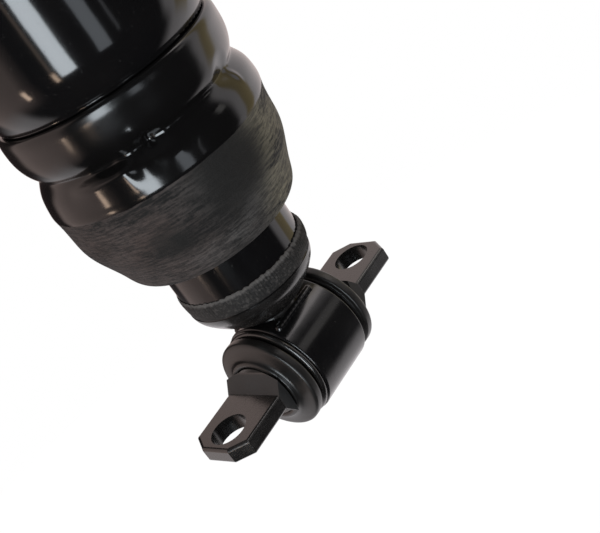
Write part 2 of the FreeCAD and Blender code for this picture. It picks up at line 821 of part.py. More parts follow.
def reversed_outline(outline):
    """The same stretch of outline walked the other way."""
    ends = [step[2] if step[0] == "arc" else step for step in outline]
    back = [ends[-1]]
    for index in range(len(outline) - 1, 0, -1):
        step = outline[index]
        back.append(arc(step[1], ends[index - 1]) if step[0] == "arc" else ends[index - 1])
    return back


def outer_can():
    """Steel can, swaged in and thickened at the bottom to grip the sleeve, with a hole for the port."""
    lip = CAN_WALL / 2
    can = turned(
        [
            (NECK_BORE_R, CAN_BOTTOM + lip),
            arc((NECK_R - lip, CAN_BOTTOM), (NECK_R, CAN_BOTTOM + lip)),
        ]
        + [swage_arc((NECK_R, CAN_BOTTOM + lip), (CAN_R, SHOULDER_TOP))]
        + [(CAN_R, CAN_TOP), (CAN_BORE_R, CAN_TOP)]
        + reversed_outline(can_bore())
    )
    hole = laid_along_port(ring(0, PORT_THREAD_R, 0, 2 * CAN_R))
    return can.cut(hole)


def top_cap():
    """Pressed cap that closes the can, with a boss that the rod is sealed in."""
    rim_r = CAN_BORE_R
    cap_under = CAP_TOP - CAP_WALL
    cap = turned(
        [
            (ROD_R, CAP_TOP),
            (rim_r - 12.0, CAP_TOP),
            arc((rim_r - 6.0, CAP_TOP - 1.6), (rim_r - 2.0, CAN_TOP + 1.5)),
            (rim_r, CAN_TOP),
            (rim_r, CAN_TOP - CAP_SKIRT),
            (rim_r - 2.0, CAN_TOP - CAP_SKIRT),
            (rim_r - 3.0, CAN_TOP - 1.0),
            arc((rim_r - 7.0, cap_under - 1.6), (rim_r - 13.0, cap_under)),
            (CAP_BOSS_R, cap_under),
            (CAP_BOSS_R, BOSS_BOTTOM),
            (ROD_R, BOSS_BOTTOM),
        ]
    )
    groove = ring(0, ROD_R + O_RING_SECTION, O_RING_BOTTOM, O_RING_BOTTOM + O_RING_SECTION)
    return cap.cut(groove)


def can_weld():
    """Seam weld between the can and the cap."""
    return turned(
        [
            (CAN_BORE_R, CAN_TOP),
            (CAN_R, CAN_TOP),
            arc((CAN_R - 0.1, CAN_TOP + 1.0), (CAN_BORE_R - 0.6, CAN_TOP + 1.5)),
            (CAN_BORE_R - 2.0, CAN_TOP + 1.5),
        ]
    )


def rod_o_ring():
    half = O_RING_SECTION / 2
    return Part.makeTorus(ROD_R + half, half, Vector(0, 0, O_RING_BOTTOM + half), UP)


def bump_stop():
    """Foam bump stop on the rod, with two waists, up against the boss of the cap."""
    top = BOSS_BOTTOM
    bottom = top - BUMP_STOP_LENGTH
    inner_r = ROD_R + SOFT_GAP
    return turned(
        [
            (inner_r, bottom),
            (BUMP_STOP_R - 5.0, bottom),
            (BUMP_STOP_R - 3.0, bottom + 9.0),
            arc((BUMP_STOP_R - 5.0, bottom + 12.0), (BUMP_STOP_R - 1.0, bottom + 15.0)),
            (BUMP_STOP_R - 1.0, bottom + 22.0),
            arc((BUMP_STOP_R - 3.0, bottom + 25.0), (BUMP_STOP_R, bottom + 28.0)),
            (BUMP_STOP_R, top),
            (inner_r, top),
        ]
    )


# ---- top mount ------------------------------------------------------------------------------------
def washer(bottom, lift):
    """Mount washer whose rim is dished upwards by lift."""
    top = bottom + WASHER_THICKNESS
    dish = WASHER_R - 4.0
    return turned(
        [
            (STUD_R, bottom),
            (dish, bottom),
            (WASHER_R, bottom + lift),
            (WASHER_R, top + lift),
            (dish, top),
            (STUD_R, top),
        ]
    )


def lower_washer():
    return washer(CAP_TOP, 0.0)


def upper_washer():
    return washer(SPACER_TOP, WASHER_DISH)


def mount_spacer():
    return ring(STUD_R, SPACER_R, SPACER_BOTTOM, SPACER_TOP)


def mount_rubber():
    """Rubber block in the housing, hollowed above and below. Its bore opens out from the waist, so
    the plate can tilt on the spacer."""
    bottom = SPACER_BOTTOM + MOUNT_RUBBER_GAP
    top = SPACER_TOP - MOUNT_RUBBER_GAP
    waist_r = SPACER_R + SOFT_GAP
    mouth_r = waist_r + (top - bottom) / 2 * math.tan(math.radians(MOUNT_TILT + 0.5))
    outer_r = HOUSING_BORE_R
    middle_r = (mouth_r + outer_r) / 2
    return turned(
        [
            (mouth_r, bottom),
            arc((middle_r, bottom + 3.0), (outer_r, HOUSING_BOTTOM + HOUSING_WALL)),
            (outer_r, HOUSING_TOP - PLATE_THICKNESS),
            arc((middle_r, top - 3.0), (mouth_r, top)),
            (waist_r, (bottom + top) / 2),
        ]
    )


def mount_plate():
    """Two-bolt plate with the drawn housing of the rubber mount hanging under it."""
    half = PLATE_LENGTH / 2 - PLATE_END_R
    bottom = HOUSING_TOP - PLATE_THICKNESS
    lug = Part.makeCylinder(PLATE_END_R, PLATE_THICKNESS, Vector(half, 0, bottom), UP)
    web = Part.makePolygon(
        [
            Vector(half, PLATE_END_R, bottom),
            Vector(-half, PLATE_END_R, bottom),
            Vector(-half, -PLATE_END_R, bottom),
            Vector(half, -PLATE_END_R, bottom),
            Vector(half, PLATE_END_R, bottom),
        ]
    )
    web = Part.Face(web).extrude(UP * PLATE_THICKNESS)
    disc = ring(0, HOUSING_R + 3.5, bottom, HOUSING_TOP)
    plate = disc.fuse([lug, lug.mirror(ORIGIN, ALONG_PIN), web]).removeSplitter()
    hole = Part.makeCylinder(
        PLATE_HOLE_R, 3 * PLATE_THICKNESS, Vector(PLATE_BOLT_SPACING / 2, 0, bottom - 1), UP
    )
    plate = plate.cut([hole, hole.mirror(ORIGIN, ALONG_PIN)])
    opening = ring(0, HOUSING_BORE_R, bottom - 1, HOUSING_TOP + 1)
    cup = turned(
        [
            (HOUSING_BORE_R, bottom),
            (HOUSING_BORE_R, HOUSING_BOTTOM + HOUSING_WALL),
            (HOUSING_BORE_R - 1.5, HOUSING_BOTTOM + HOUSING_WALL),
            (HOUSING_BORE_R - 1.5, HOUSING_BOTTOM),
            (HOUSING_R - 2.0, HOUSING_BOTTOM),
            arc((HOUSING_R - 0.6, HOUSING_BOTTOM + 0.6), (HOUSING_R, HOUSING_BOTTOM + 2.0)),
            (HOUSING_R, bottom),
        ]
    )
    return plate.cut(opening).fuse(cup).removeSplitter()


def stem_nut():
    """Flanged nut on the stud."""
    nut = hexagon(NUT_ACROSS, NUT_BOTTOM, NUT_HEIGHT)
    chamfer = turned(
        [
            (0, NUT_BOTTOM),
            (NUT_ACROSS, NUT_BOTTOM),
            (NUT_ACROSS * 0.62, NUT_BOTTOM + NUT_HEIGHT - 1.5),
            (NUT_ACROSS * 0.5, NUT_BOTTOM + NUT_HEIGHT),
            (0, NUT_BOTTOM + NUT_HEIGHT),
        ]
    )
    flange = turned(
        [
            (0, NUT_BOTTOM),
            (NUT_FLANGE_R, NUT_BOTTOM),
            (NUT_FLANGE_R, NUT_BOTTOM + 1.2),
            (NUT_ACROSS / 2, NUT_BOTTOM + 2.6),
            (0, NUT_BOTTOM + 2.6),
        ]
    )
    body = nut.common(chamfer).fuse(flange).removeSplitter()
    return body.cut(ring(0, STUD_R, NUT_BOTTOM - 1, NUT_BOTTOM + NUT_HEIGHT + 1))


# ---- air port -------------------------------------------------------------------------------------
def port_boss():
    """Threaded boss welded to the side of the can."""
    boss = laid_along_port(ring(PORT_THREAD_R, BOSS_R, CAN_R - 3.0, BOSS_FACE))
    return boss.cut(ring(0, CAN_R, PORT_HEIGHT - 2 * BOSS_R, PORT_HEIGHT + 2 * BOSS_R))


def port_fitting():
    """Push-in fitting: threaded shank, hexagon and barrel."""
    shank = ring(0, PORT_THREAD_R, CAN_BORE_R - 1.0, BOSS_FACE)
    hexed = hexagon(FITTING_ACROSS, BOSS_FACE, FITTING_HEX_LENGTH)
    barrel = ring(0, FITTING_BARREL_R, HEX_FACE, BARREL_FACE)
    body = shank.fuse([hexed, barrel]).removeSplitter()
    body = body.cut(ring(0, AIR_WAY_R, CAN_BORE_R - 2.0, BARREL_FACE))
    body = body.cut(ring(0, AIR_LINE_R, LINE_STOP, BARREL_FACE))
    body = body.cut(ring(0, CARTRIDGE_R, CARTRIDGE_FLOOR, BARREL_FACE + 1.0))
    return laid_along_port(body)


def port_o_ring():
    return laid_along_port(
        ring(AIR_LINE_R, CARTRIDGE_R, CARTRIDGE_FLOOR, CARTRIDGE_FLOOR + O_RING_SECTION)
    )


def port_collet():
    """Release collar of the fitting, which is pressed in to let the air line go."""
    foot = CARTRIDGE_FLOOR + O_RING_SECTION + COLLET_TRAVEL + RUNNING
    head = BARREL_FACE + COLLET_TRAVEL + RUNNING
    return laid_along_port(
        turned(
            [
                (AIR_LINE_R, foot),
                (CARTRIDGE_R - RUNNING, foot),
                (CARTRIDGE_R - RUNNING, head),
                (FITTING_BARREL_R - 0.4, head),
                (FITTING_BARREL_R - 0.4, head + COLLET_HEAD),
                (AIR_LINE_R, head + COLLET_HEAD),
            ]
        )
    )


PIECES = [
    bar_pin,
    bushing_sleeve,
    bushing_rubber,
    mounting_eye,
    base_cup,
    eye_weld,
    reservoir_tube,
    stop_ring,
    pressure_tube,
    base_valve_body,
    base_valve_rivet,
    base_disc_stack,
    base_intake_plate,
    rod_guide,
    guide_bush,
    rod_seal,
    striker_cap,
    piston_rod,
    piston,
    piston_band,
    piston_lower_discs,
    piston_upper_discs,
    piston_nut,
    stop_washer,
    rebound_bumper,
    air_sleeve,
    sleeve_inner_ring,
    sleeve_support_ring,
    outer_can,
    top_cap,
    can_weld,
    rod_o_ring,
    bump_stop,
    lower_washer,
    upper_washer,
    mount_spacer,
    mount_rubber,
    mount_plate,
    stem_nut,
    port_boss,
    port_fitting,
    port_o_ring,
    port_collet,
]


def main():
    os.makedirs("parts", exist_ok=True)
    for piece in PIECES:
        shape = piece()
        if not shape.isValid() or shape.Volume <= 0:
            raise RuntimeError(piece.__name__ + " is not a valid solid")
        shape.exportStep(os.path.join("parts", piece.__name__ + ".step"))
        print(f"{piece.__name__}: {len(shape.Solids)} solid(s), {shape.Volume / 1000:.2f} cm3")


main()
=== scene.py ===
# %% [markdown]
# # An air shock absorber in glossy black
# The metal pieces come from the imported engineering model, so their sizes are already right. What
# is left for Blender is what a drawing can't hold: a rubber sleeve that hangs in folds, ribbed
# and moulded rubber, a weld with its ripples, and the paint, plating and oil-dark steel of each
# surface.

# %% load the frame
import bpy
import json
import math
from mathutils import Matrix, Vector


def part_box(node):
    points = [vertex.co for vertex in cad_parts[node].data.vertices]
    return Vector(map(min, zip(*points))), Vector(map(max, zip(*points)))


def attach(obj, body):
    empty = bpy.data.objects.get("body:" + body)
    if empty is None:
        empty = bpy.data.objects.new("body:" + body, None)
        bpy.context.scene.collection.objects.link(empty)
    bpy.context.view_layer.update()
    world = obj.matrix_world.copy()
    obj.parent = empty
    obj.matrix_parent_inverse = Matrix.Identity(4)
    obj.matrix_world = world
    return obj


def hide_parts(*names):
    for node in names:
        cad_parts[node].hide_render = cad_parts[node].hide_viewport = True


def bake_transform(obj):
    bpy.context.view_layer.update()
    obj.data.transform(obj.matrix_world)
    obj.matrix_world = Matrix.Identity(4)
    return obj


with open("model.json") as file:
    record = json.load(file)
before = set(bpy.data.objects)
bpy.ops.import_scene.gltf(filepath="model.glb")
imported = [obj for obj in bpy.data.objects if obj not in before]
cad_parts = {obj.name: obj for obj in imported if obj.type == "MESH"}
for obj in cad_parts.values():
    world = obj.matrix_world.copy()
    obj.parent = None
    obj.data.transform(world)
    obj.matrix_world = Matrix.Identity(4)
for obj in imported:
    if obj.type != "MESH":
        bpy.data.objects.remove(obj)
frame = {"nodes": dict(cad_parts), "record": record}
bpy.ops.object.select_all(action="DESELECT")
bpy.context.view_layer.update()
MM = 0.001
print("CAD nodes:", len(frame["nodes"]))

# %% [markdown]
# ## Shader maths as plain expressions
# Wiring a dozen Math nodes by hand hides what they say. A small class wraps one output socket, so
# that `1 - mask * 0.4` writes the nodes. Anything that isn't arithmetic comes from one method
# that takes the node's type, its settings and what goes into its sockets.

# %% a socket that can be added and multiplied


class Value:
    """One output socket; arithmetic on it adds Math nodes."""

    def __init__(self, finish, socket):
        self.finish = finish
        self.socket = socket

    def maths(self, operation, first, second=None):
        inputs = {0: first}
        if second is not None:
            inputs[1] = second
        return self.finish.node("ShaderNodeMath", {"operation": operation}, inputs)

    def __add__(self, other):
        return self.maths("ADD", self, other)

    def __mul__(self, other):
        return self.maths("MULTIPLY", self, other)

    def __sub__(self, other):
        return self.maths("SUBTRACT", self, other)

    def __rsub__(self, other):
        return self.maths("SUBTRACT", other, self)

    __radd__ = __add__
    __rmul__ = __mul__

    def power(self, exponent):
        return self.maths("POWER", self, exponent)

    def above(self, edge, softness):
        """0 below edge, 1 above it, with a soft step between."""
        return self.finish.node(
            "ShaderNodeMapRange",
            {"interpolation_type": "SMOOTHSTEP"},
            {"Value": self, "From Min": edge - softness, "From Max": edge + softness},
        )


class Finish:
    """A material under construction."""

    def __init__(self, name):
        self.material = bpy.data.materials.new(name)
        self.material.use_nodes = True
        self.tree = self.material.node_tree
        self.shader = self.tree.nodes["Principled BSDF"]
        self.place = self.node("ShaderNodeTexCoord", output="Object")

    def node(self, kind, settings=None, inputs=None, output=None):
        """Adds a node, with its settings and what feeds its inputs, and returns one output."""
        made = self.tree.nodes.new(kind)
        for name, value in (settings or {}).items():
            setattr(made, name, value)
        for name, value in (inputs or {}).items():
            self.feed(made.inputs[name], value)
        shown = [s for s in made.outputs if s.enabled]
        return Value(self, made.outputs[output] if output is not None else shown[0])

    def feed(self, socket, value):
        if isinstance(value, Value):
            self.tree.links.new(value.socket, socket)
        else:
            socket.default_value = value

    def axis(self, index, vector=None):
        """One coordinate of a vector, or of the object coordinates if none is given."""
        return self.node("ShaderNodeSeparateXYZ", {}, {0: vector or self.place}, output=index)

    def stretched(self, x, y, z, vector=None):
        """A vector, or the object coordinates, with each axis multiplied by a number."""
        inputs = {0: vector or self.place, 1: (x, y, z)}
        return self.node("ShaderNodeVectorMath", {"operation": "MULTIPLY"}, inputs)

    def noise(self, size, detail=2.0, place=None, roughness=0.5):
        """Noise from 0 to 1 whose lumps are about size millimetres across."""
        return self.node(
            "ShaderNodeTexNoise",
            {},
            {
                "Vector": place or self.place,
                "Scale": 1 / (size * MM),
                "Detail": detail,
                "Roughness": roughness,
            },
            output=0,
        )

    def blend(self, factor, dark, light):
        """A colour between two colours; sockets 6 and 7 are the node's colours A and B."""
        a, b = (c if isinstance(c, Value) else (*c, 1) for c in (dark, light))
        return self.node("ShaderNodeMix", {"data_type": "RGBA"}, {0: factor, 6: a, 7: b}, output=2)

    def mixed(self, factor, first, second):
        """A shader between two shaders."""
        return self.node("ShaderNodeMixShader", {}, {0: factor, 1: first, 2: second})

    def shaded(self):
        """What the current Principled shader gives out."""
        return Value(self, self.shader.outputs[0])

    def surface(self, shader):
        """Takes that shader as the material's surface."""
        self.tree.links.new(shader.socket, self.tree.nodes["Material Output"].inputs["Surface"])

    def set(self, **sockets):
        """Feeds the current shader's sockets; an underscore stands for a space."""
        for name, value in sockets.items():
            if isinstance(value, tuple):
                value = (*value, 1)
            self.feed(self.shader.inputs[name.replace("_", " ")], value)

    def bump(self, height, millimetres):
        """Bumps of that height in millimetres, from a value that runs from 0 to 1."""
        inputs = {"Height": height, "Distance": millimetres * MM, "Strength": 1.0}
        self.feed(self.shader.inputs["Normal"], self.node("ShaderNodeBump", {}, inputs))


print("shader helpers ready")

# %% [markdown]
# ## Gloss enamel
# The can, the damper tube and the eye are dipped or sprayed in black enamel. It is nearly a
# mirror, but never a perfect one: the film has a faint orange peel a few millimetres across, thin
# haze in places, and specks of dust. The haze changes only the roughness; the peel is a shallow
# bump.

# %% gloss enamel


def gloss_enamel(name, haze=0.05, peel=0.012, smooth=0.075):
    """Black enamel: smooth is its lowest roughness, haze adds to it, peel is a depth in mm."""
    paint = Finish(name)
    cloud = paint.noise(14, 3.0)
    speck = paint.noise(0.9, 1.0).above(0.74, 0.02)
    tint = paint.blend(cloud, (0.0022, 0.0022, 0.0026), (0.0045, 0.0041, 0.0040))
    paint.set(
        Base_Color=paint.blend(speck * 0.2, tint, (0.05, 0.048, 0.045)),
        Roughness=cloud * haze + speck * 0.1 + smooth,
        IOR=1.5,
    )
    paint.bump(paint.noise(4.5, 1.0) + speck * 0.1, peel)
    return paint.material


# The bar pin's bends, as distances from its middle in millimetres.
BEND_START = 21.5
BEND_END = 25.8


def satin_coat(name, dark, light, rough, grain=0.35, depth=0.012, bends=False):
    """A thin satin coat over forged or pressed steel: grain, rubbed patches and small scratches.

    With bends, it is duller on the bar pin's two bends, where the press left the steel rougher.
    """
    coat = Finish(name)
    patch = coat.noise(9, 4.0, roughness=0.6)
    grit = coat.noise(grain, 3.0)
    scratch = coat.noise(0.5, 1.0, coat.stretched(0.1, 1, 1)).above(0.68, 0.05)
    dull = 0
    if bends:
        along = coat.axis(0) * (1 / MM)
        reach = (along * along).power(0.5)
        dull = (reach.above(BEND_START, 0.4) - reach.above(BEND_END, 0.5)) * 0.42
    coat.set(
        Base_Color=coat.blend(patch.above(0.55, 0.2), dark, light),
        Roughness=patch * 0.14 + grit * 0.1 + scratch * 0.08 + dull + (rough - 0.12),
        IOR=1.7,
    )
    coat.bump(grit + patch * 1.5, depth)
    return coat.material


print("paints ready")

# %% [markdown]
# ## Bare and plated metals
# Machined steel shows fine rings or strokes left by the tool, and zinc plate a cool, slightly
# patchy satin. Both are metals, so their colour is in the reflection: Metallic is 1 and the grain
# goes into Roughness and Bump.

# %% metals


def metal(name, colour, rough, grain=(1.0, 1.0, 1.0), size=0.4, depth=0.004, spread=0.15):
    """Bare or plated metal with tool marks of that size and depth in millimetres."""
    finish = Finish(name)
    strokes = finish.noise(size, 2.0, finish.stretched(*grain))
    blotch = finish.noise(11, 4.0)
    darker = tuple(c * 0.72 for c in colour)
    finish.set(
        Base_Color=finish.blend(blotch, darker, colour),
        Metallic=1.0,
        Roughness=strokes * spread + blotch * 0.1 + (rough - 0.1),
    )
    finish.bump(strokes, depth)
    return finish.material


print("metals ready")

# %% [markdown]
# ## Rubbers, foam and plastics
# Moulded rubber has a fine grey bloom and a skin like very fine leather. Foam for a bump stop is
# a pale skin over small cells, and the hard plastics are smoother.

# %% soft materials
PLAIN_RUBBER = ((0.012, 0.0115, 0.011), (0.03, 0.028, 0.027))


def moulded_rubber(name, dark=PLAIN_RUBBER[0], light=PLAIN_RUBBER[1], rough=0.5, lit_top=None):
    """Bloomed rubber. Above the height given for its top edge, in millimetres, it is painted paler,
    a painted highlight on the lit, torn top edge.
    """
    rubber = Finish(name)
    bloom = rubber.noise(7, 4.0, roughness=0.6)
    grain = rubber.noise(0.45, 3.0)
    colour = rubber.blend(bloom, dark, light)
    skin, skin_depth = grain + bloom * 2, 0.02
    if lit_top:
        height = rubber.axis(2) * (1 / MM)
        top_highlight = (height + rubber.noise(1.2, 2.0) * 1.6 - 0.8).above(lit_top, 0.5)
        fleck = rubber.noise(0.9, 4.0, roughness=0.8)
        colour = rubber.blend(fleck.above(0.56, 0.06) * 0.7, colour, (0.045, 0.041, 0.038))
        # Painted highlight: the top edge is painted paler, as if lit from above.
        colour = rubber.blend(top_highlight * 0.8, colour, (0.075, 0.069, 0.065))
        rubber.set(Specular_IOR_Level=0.28)
        skin, skin_depth = grain + fleck * 2, 0.08
    rubber.set(
        Base_Color=colour,
        Roughness=bloom * 0.15 + grain * 0.12 + (rough - 0.12),
        IOR=1.5,
    )
    rubber.bump(skin, skin_depth)
    return rubber.material


def plastic(name, colour, rough, cells=0.8, depth=0.01):
    """Plastic or foam with cells of that size and depth in millimetres."""
    finish = Finish(name)
    grain = finish.noise(cells, 3.0)
    pale = tuple(min(1.0, c * 1.2 + 0.004) for c in colour)
    finish.set(Base_Color=finish.blend(grain, colour, pale), Roughness=grain * 0.2 + (rough - 0.1))
    finish.bump(grain, depth)
    return finish.material


SATIN = ((0.0045, 0.0041, 0.0038), (0.011, 0.0100, 0.0095), 0.22)
finishes = {
    "gloss_black": gloss_enamel("gloss_enamel"),
    "satin_black": satin_coat("satin_coat", *SATIN),
    "sleeve_rubber": moulded_rubber("sleeve_hidden_rubber"),
    "moulded_rubber": moulded_rubber("moulded_rubber"),
    "foam": plastic("bump_stop_foam", (0.62, 0.52, 0.3), 0.8, 1.2, 0.08),
    "plain_steel": metal("machined_steel", (0.36, 0.35, 0.34), 0.34),
    "zinc_plate": metal("zinc_plate", (0.62, 0.62, 0.6), 0.32, size=1.4),
    "hard_chrome": metal(
        "hard_chrome", (0.75, 0.75, 0.76), 0.14, size=0.3, depth=0.001, spread=0.05
    ),
    "sintered_iron": metal("sintered_iron", (0.24, 0.235, 0.23), 0.5, size=0.25, depth=0.015),
    "bush_bronze": metal("bush_bronze", (0.5, 0.34, 0.18), 0.35),
    "fitting_brass": metal("turned_brass", (0.7, 0.54, 0.27), 0.24, (1, 6, 1), 0.6),
    "band_plastic": plastic("piston_band_plastic", (0.2, 0.15, 0.08), 0.5),
    "collet_plastic": plastic("collet_plastic", (0.012, 0.012, 0.013), 0.32, 0.5, 0.004),
}
own_finishes = {
    "mounting_eye": gloss_enamel("eye_enamel", 0.12, 0.02, 0.11),
    "bar_pin": satin_coat("pin_coat", *SATIN, bends=True),
}
for part in frame["record"]["subparts"]:
    mesh = frame["nodes"][part["node"]].data
    mesh.materials.clear()
    mesh.materials.append(own_finishes.get(part["node"], finishes[part["material_slot"]]))
print("finishes on CAD nodes:", len(finishes) + len(own_finishes))

# %% [markdown]
# ## Shaping tools
# Almost everything here is turned, so the first tool draws an outline by extruding one vertex
# point by point, and spins it. The second smooths the result with a subdivision modifier. The
# third is a thumb: it takes hold of the surface at one place and moves it with a soft falloff, as
# one presses clay.

# %% spin an outline


def make_active(obj):
    bpy.ops.object.select_all(action="DESELECT")
    obj.select_set(True)
    bpy.context.view_layer.objects.active = obj


def open_mesh(obj):
    make_active(obj)
    bpy.ops.object.mode_set(mode="EDIT")


def close_mesh():
    bpy.ops.object.mode_set(mode="OBJECT")
    bpy.ops.object.select_all(action="DESELECT")


def spun(name, outline, steps, along_x=False, closed=False):
    """A turned shell from an outline of (radius, height) in millimetres, about Z or about X."""
    bpy.ops.mesh.primitive_plane_add(size=MM, location=(0, 0, 0))
    obj = bpy.context.active_object
    obj.name = name
    points = [Vector((h, r, 0) if along_x else (r, 0, h)) * MM for r, h in outline]
    if closed:
        points.append(points[0])
    open_mesh(obj)
    bpy.ops.mesh.merge(type="CENTER")
    bpy.ops.transform.translate(value=points[0])
    for here, ahead in zip(points, points[1:]):
        bpy.ops.mesh.extrude_region_move(TRANSFORM_OT_translate={"value": ahead - here})
    bpy.ops.mesh.select_all(action="SELECT")
    axis = (1, 0, 0) if along_x else (0, 0, 1)
    bpy.ops.mesh.spin(steps=steps, angle=math.tau, center=(0, 0, 0), axis=axis)
    bpy.ops.mesh.select_all(action="SELECT")
    bpy.ops.mesh.remove_doubles(threshold=0.01 * MM)
    bpy.ops.mesh.normals_make_consistent(inside=False)
    close_mesh()
    return obj


def apply_modifier(obj, kind, **settings):
    make_active(obj)
    modifier = obj.modifiers.new(kind.title(), kind)
    for name, value in settings.items():
        setattr(modifier, name, value)
    bpy.ops.object.modifier_apply(modifier=modifier.name)
    obj.select_set(False)


def smoothed(obj, levels):
    """The same object, subdivided that many times and shaded smooth."""
    apply_modifier(obj, "SUBSURF", levels=levels, render_levels=levels)
    obj.data.shade_smooth()
    return obj


SKIN_R = 35.0


def on_sleeve(azimuth, radius, height):
    """A point in metres from an azimuth in degrees, a radius and a height in millimetres."""
    turn = math.radians(azimuth)
    return Vector((radius * math.cos(turn), radius * math.sin(turn), height)) * MM


def press(obj, azimuth, height, depth, size, squash=1.0):
    """Presses the sleeve's skin in by depth, or out if it is negative, over a patch of that size.

    A squash above 1 widens the patch across the sleeve, and one below 1 makes it a fold that runs
    up and down. Up and down the skin, the patch keeps its size.
    """
    place = on_sleeve(azimuth, SKIN_R, height)
    out = Vector((place.x, place.y, 0)).normalized()
    side = Vector((-out.y, out.x, 0))
    for vertex in obj.data.vertices:
        gap = vertex.co - place
        across = gap.dot(side) / squash
        # Depth counts for less than half, so that both faces of the skin move together.
        far = math.sqrt(across**2 + gap.z**2 + (gap.dot(out) * 0.4) ** 2) / (size * MM)
        if far < 1:
            soft = (1 - far * far) ** 2
            vertex.co += out * -depth * soft * MM


def eased(far):
    """0 to 1 with a soft start and end."""
    far = min(1.0, max(0.0, far))
    return far * far * (3 - 2 * far)


print("shaping tools ready")

# %% [markdown]
# ## The air sleeve
# With no air in it the sleeve hangs as a soft sock: clamped in the neck of the can, it swells
# into two rings with a crease between them, drops to the lobe and rolls inside itself up the
# tube. The skin is one outline, spun and smoothed. The outside leg and the inside leg are two
# pieces that meet at the bottom of the lobe.

# %% outline of the sleeve
LOBE_R = 25.25
LOBE_Z = 50.6
WALL = 2.3
outer_skin = [
    (33.0, 117.0), (33.0, 112.5), (33.3, 111.45), (34.2, 111.3), (35.2, 111.5), (36.2, 111.0),
    (36.8, 109.3), (36.75, 106.8), (36.6, 104.2), (36.3, 101.9), (35.8, 99.7), (35.1, 97.7),
    (34.2, 96.2), (33.7, 95.4), (33.8, 94.7), (34.4, 93.7), (35.4, 92.2), (36.3, 90.5),
    (36.9, 88.4), (37.25, 86.2), (37.5, 84.2), (37.35, 82.8), (36.95, 80.4), (36.75, 77.4),
    (36.65, 74.2), (36.5, 71.2), (36.0, 68.6), (35.1, 66.0), (34.0, 63.6), (32.9, 61.2),
    (31.8, 58.8), (30.9, 56.4), (30.1, 54.2), (29.0, 52.3), (27.3, 51.0), (LOBE_R, LOBE_Z),
]
inner_skin = [
    (LOBE_R, LOBE_Z + WALL), (26.2, 53.5), (27.6, 56.0), (29.6, 60.2), (31.9, 65.0), (33.5, 70.0),
    (34.4, 76.5), (34.8, 83.0), (34.4, 88.0), (33.2, 91.6), (31.3, 95.2), (32.9, 98.6),
    (34.0, 103.0), (34.2, 107.0), (33.2, 109.2), (31.0, 110.8), (30.7, 112.5), (30.7, 117.0),
]
roll = [
    (LOBE_R, LOBE_Z), (23.9, 51.0), (22.8, 52.1), (22.35, 53.6), (22.2, 56.0), (22.15, 62.0),
    (22.15, 150.0), (24.5, 150.0), (24.5, 62.0), (24.5, 56.4), (24.55, 54.8), (24.75, 53.7),
    (LOBE_R, LOBE_Z + WALL),
]
sleeve_outer = smoothed(spun("sleeve_outer_leg", outer_skin + inner_skin, 72, closed=True), 2)
sleeve_inner = smoothed(spun("sleeve_inner_leg", roll, 48, closed=True), 2)
print("outer leg:", len(sleeve_outer.data.polygons), "inner leg:", len(sleeve_inner.data.polygons))

# %% [markdown]
# ## Folds and the pinch
# Empty rubber is never round. A wide push here and there makes the rings uneven. The pinch in the
# crease is a deep small dent, with short folds that fan out from it. Every press is azimuth,
# height, depth, size, and how far it spreads across the sleeve. Last, one stretch of the second
# ring, which the thick paint has stiffened, is filled out until it stands nearly upright.

# %% press the folds
slack = [
    (175, 74, -0.2, 24, 1.0), (-95, 70, 0.5, 16, 1.0), (-55, 74, 1.2, 24, 1.0),
    (20, 72, -0.7, 22, 1.0), (90, 75, 0.8, 20, 1.0), (-155, 60, -0.6, 14, 1.2),
    (-75, 58, 0.4, 12, 1.2), (-110, 104, 0.4, 9, 1.6), (-60, 103, 0.7, 12, 1.4),
    (-20, 88, -0.5, 12, 1.5), (50, 104, 0.6, 12, 1.5), (130, 86, 0.8, 13, 1.4),
    (-172, 104, 0.5, 10, 1.4), (-30, 101, -0.5, 9, 1.5), (70, 90, -0.5, 10, 1.5),
    (150, 102, -0.4, 9, 1.5),
]
pinch = [
    (-127.6, 95.0, 1.3, 4.5, 1.3), (-127.6, 95.1, 1.0, 2.2, 1.1), (-133.0, 97.8, 0.35, 3.2, 0.9),
    (-130.5, 99.3, -0.3, 3.4, 0.9), (-131.8, 92.2, 0.45, 3.0, 0.7),
    (-135.5, 93.0, 0.25, 2.6, 0.8), (-122.5, 92.6, 0.5, 4.4, 1.1), (-129.0, 89.8, 0.3, 4.0, 1.0),
    (-114.0, 91.0, 0.3, 4.4, 0.9), (-112.0, 95.3, 0.45, 6.0, 3.0),
    (-135.0, 103.0, 0.7, 10.0, 1.8),
]
for azimuth, height, depth, size, spread in slack + pinch:
    press(sleeve_outer, azimuth, height, depth, size, squash=spread)
small_dents = ((40, 97), (100, 94), (-150, 96), (-75, 97), (-10, 95))
for azimuth, height in small_dents:
    press(sleeve_outer, azimuth, height, 0.8, 5.0, squash=1.3)
    press(sleeve_outer, azimuth + 5, height - 4, -0.5, 4.0, squash=0.5)
print("presses:", len(slack) + len(pinch) + 2 * len(small_dents))

# %% fill out one stretch of the second ring
FULL_R = 37.3
FULL_FROM, FULL_TO = -178, -136
FULL_LOW, FULL_TOP = 84, 94.8
for vertex in sleeve_outer.data.vertices:
    x, y, z = (c / MM for c in vertex.co)
    reach = math.hypot(x, y)
    inside = 33.4 + 0.28 * max(0.0, 92 - z)  # the rubber's hidden face lies within this radius
    if FULL_LOW < z < FULL_TOP and inside < reach < FULL_R:
        turn = math.degrees(math.atan2(y, x))
        # The stretch fades over 18 degrees at one end, 8 at the other, and 3.2 mm at the top.
        full = eased((turn - FULL_FROM) / 18) * eased((FULL_TO - turn) / 8)
        full *= eased((FULL_TOP - z) / 3.2)
        vertex.co += Vector((x, y, 0)).normalized() * (FULL_R - reach) * full * MM
print("second ring filled out to", FULL_R, "mm")

